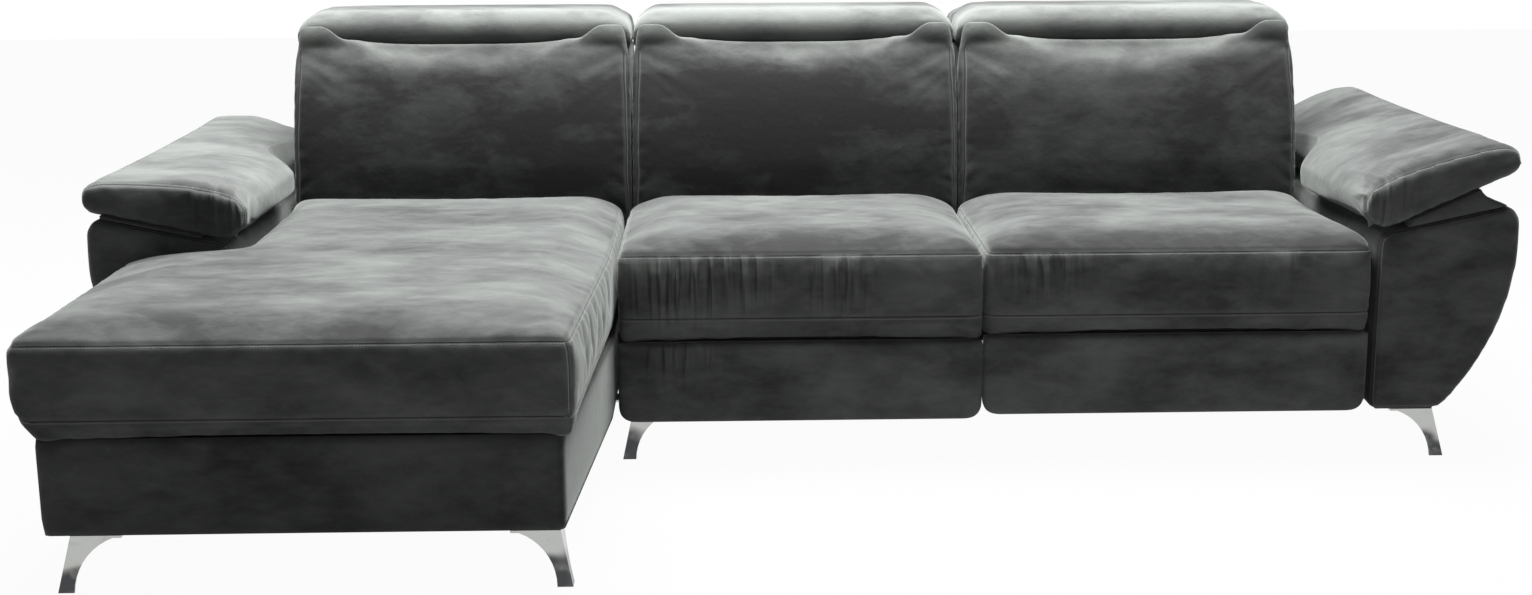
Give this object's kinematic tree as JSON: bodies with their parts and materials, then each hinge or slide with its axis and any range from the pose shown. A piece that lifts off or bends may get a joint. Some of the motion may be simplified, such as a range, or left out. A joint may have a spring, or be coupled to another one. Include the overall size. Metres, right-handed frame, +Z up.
{
  "type": "corner sofa",
  "caption": "L-shaped upholstered sofa: fixed chaise on one side, relax seats with footrests and reclining backs on the other, raisable headrests, tilting arm pads, chrome corner legs.",
  "frame": {"origin": "middle of the sofa's whole footprint, on the floor", "axes": "+X along the sofa from the chaise to the other arm, +Y from the front to the back, +Z up"},
  "size_m": [2.7477, 1.65, 0.8235],
  "materials": {
    "velour": "charcoal microfibre velour over foam",
    "velour_panel": "charcoal microfibre velour over board",
    "frame_wood": "unfinished plywood and beech",
    "webbing": "woven elastic webbing",
    "chrome": "polished chrome plate",
    "zinc_steel": "zinc-plated steel",
    "black_plastic": "black moulded plastic"
  },
  "bodies": {
    "base": {"chrome_legs": "chrome", "leg_screws": "zinc_steel", "rear_legs": "black_plastic", "leg_glides": "black_plastic", "chaise_skirts": "velour_panel", "chaise_frame": "frame_wood", "element_frame": "frame_wood", "seat_straps": "webbing", "chaise_cushion": "velour", "middle_seat_cushion": "velour", "right_seat_cushion": "velour", "left_arm_body": "velour", "right_arm_body": "velour", "left_arm_frame": "frame_wood", "right_arm_frame": "frame_wood", "left_arm_gusset": "velour_panel", "right_arm_gusset": "velour_panel", "arm_hinge_brackets": "zinc_steel", "left_back_frame": "frame_wood", "left_back_cushion": "velour", "left_rear_panel": "velour_panel", "left_headrest_fixed_leaves": "zinc_steel", "recline_brackets": "zinc_steel", "mechanism_plates": "zinc_steel", "module_connectors": "zinc_steel"},
    "left_arm_pad": {"left_arm_pad": "velour", "left_arm_pad_board": "frame_wood", "left_arm_hinge_leaves": "zinc_steel"},
    "right_arm_pad": {"right_arm_pad": "velour", "right_arm_pad_board": "frame_wood", "right_arm_hinge_leaves": "zinc_steel"},
    "left_headrest": {"left_headrest_pad": "velour", "left_headrest_board": "frame_wood", "left_headrest_moving_leaves": "zinc_steel"},
    "middle_headrest": {"middle_headrest_pad": "velour", "middle_headrest_board": "frame_wood", "middle_headrest_moving_leaves": "zinc_steel"},
    "right_headrest": {"right_headrest_pad": "velour", "right_headrest_board": "frame_wood", "right_headrest_moving_leaves": "zinc_steel"},
    "middle_back": {"middle_back_frame": "frame_wood", "middle_back_cushion": "velour", "middle_rear_panel": "velour_panel", "middle_headrest_fixed_leaves": "zinc_steel", "middle_recline_leaves": "zinc_steel"},
    "middle_lift_arms": {"middle_lift_arms": "zinc_steel"},
    "middle_reach_arms": {"middle_reach_arms": "zinc_steel"},
    "middle_footrest": {"middle_footrest_board": "frame_wood", "middle_footrest_brackets": "zinc_steel", "middle_footrest_pad": "velour"},
    "right_back": {"right_back_frame": "frame_wood", "right_back_cushion": "velour", "right_rear_panel": "velour_panel", "right_headrest_fixed_leaves": "zinc_steel", "right_recline_leaves": "zinc_steel"},
    "right_lift_arms": {"right_lift_arms": "zinc_steel"},
    "right_reach_arms": {"right_reach_arms": "zinc_steel"},
    "right_footrest": {"right_footrest_board": "frame_wood", "right_footrest_brackets": "zinc_steel", "right_footrest_pad": "velour"}
  },
  "joints": [
    {"name": "left_arm_tilt", "type": "hinge", "parent": "base", "child": "left_arm_pad", "pos_m": [-1.106, 0, 0.496], "axis": [0, 1, 0], "range_deg": [0, 24], "deforming": ["left_arm_gusset"]},
    {"name": "right_arm_tilt", "type": "hinge", "parent": "base", "child": "right_arm_pad", "pos_m": [1.106, 0, 0.496], "axis": [0, -1, 0], "range_deg": [-12, 12], "deforming": ["right_arm_gusset"]},
    {"name": "left_headrest_raise", "type": "hinge", "parent": "base", "child": "left_headrest", "pos_m": [0, 0.52, 0.78], "axis": [1, 0, 0], "range_deg": [0, 75]},
    {"name": "middle_headrest_raise", "type": "hinge", "parent": "middle_back", "child": "middle_headrest", "pos_m": [0, 0.52, 0.78], "axis": [1, 0, 0], "range_deg": [0, 75]},
    {"name": "right_headrest_raise", "type": "hinge", "parent": "right_back", "child": "right_headrest", "pos_m": [0, 0.52, 0.78], "axis": [1, 0, 0], "range_deg": [0, 75]},
    {"name": "middle_back_recline", "type": "hinge", "parent": "base", "child": "middle_back", "pos_m": [0, 0.455, 0.3], "axis": [-1, 0, 0], "range_deg": [0, 18]},
    {"name": "middle_footrest_lift", "type": "hinge", "parent": "base", "child": "middle_lift_arms", "pos_m": [0, -0.06, 0.212], "axis": [-1, 0, 0], "range_deg": [0, 156.7]},
    {"name": "middle_footrest_reach", "type": "hinge", "parent": "middle_lift_arms", "child": "middle_reach_arms", "pos_m": [0, 0.12, 0.176], "axis": [-1, 0, 0], "range_deg": [-111, 0]},
    {"name": "middle_footrest_turn", "type": "hinge", "parent": "middle_reach_arms", "child": "middle_footrest", "pos_m": [0, -0.108, 0.145], "axis": [-1, 0, 0], "range_deg": [0, 44.3]},
    {"name": "right_back_recline", "type": "hinge", "parent": "base", "child": "right_back", "pos_m": [0, 0.455, 0.3], "axis": [-1, 0, 0], "range_deg": [0, 18]},
    {"name": "right_footrest_lift", "type": "hinge", "parent": "base", "child": "right_lift_arms", "pos_m": [0, -0.06, 0.212], "axis": [-1, 0, 0], "range_deg": [0, 156.7]},
    {"name": "right_footrest_reach", "type": "hinge", "parent": "right_lift_arms", "child": "right_reach_arms", "pos_m": [0, 0.12, 0.176], "axis": [-1, 0, 0], "range_deg": [-111, 0]},
    {"name": "right_footrest_turn", "type": "hinge", "parent": "right_reach_arms", "child": "right_footrest", "pos_m": [0, -0.108, 0.145], "axis": [-1, 0, 0], "range_deg": [0, 44.3]}
  ],
  "couplings": [
    {"joint": "middle_footrest_reach", "follows": "middle_footrest_lift", "ratio": -0.7081},
    {"joint": "middle_footrest_turn", "follows": "middle_footrest_lift", "ratio": 0.28245},
    {"joint": "right_footrest_reach", "follows": "right_footrest_lift", "ratio": -0.7081},
    {"joint": "right_footrest_turn", "follows": "right_footrest_lift", "ratio": 0.28245}
  ]
}
